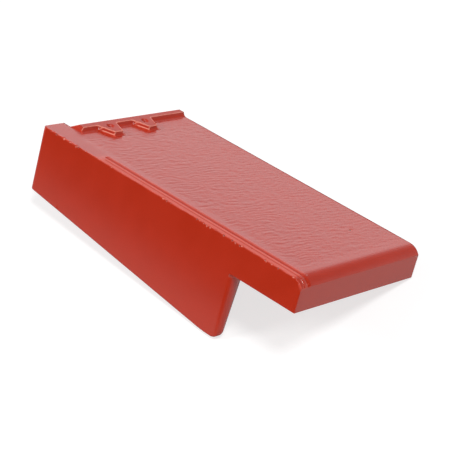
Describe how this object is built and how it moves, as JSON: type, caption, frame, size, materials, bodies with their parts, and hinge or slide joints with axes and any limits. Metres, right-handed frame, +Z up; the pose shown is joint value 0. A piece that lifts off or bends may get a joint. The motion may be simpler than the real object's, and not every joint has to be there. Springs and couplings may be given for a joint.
{
  "type": "roof verge tile",
  "caption": "Left-hand concrete verge tile: flat field, rounded nose, side flange, head rib, nail bosses and an interlocking edge.",
  "frame": {"origin": "middle of the footprint at floor level, with the tile lying as it comes to rest on a level floor", "axes": "+Y runs up the tile from the nose to the head, -X is the verge side with the flange, +Z is up"},
  "size_m": [0.259, 0.4368, 0.1223],
  "materials": {
    "coated_concrete": "glossy red acrylic coat over cast concrete"
  },
  "bodies": {
    "root": {"verge_tile": "coated_concrete"}
  },
  "joints": []
}
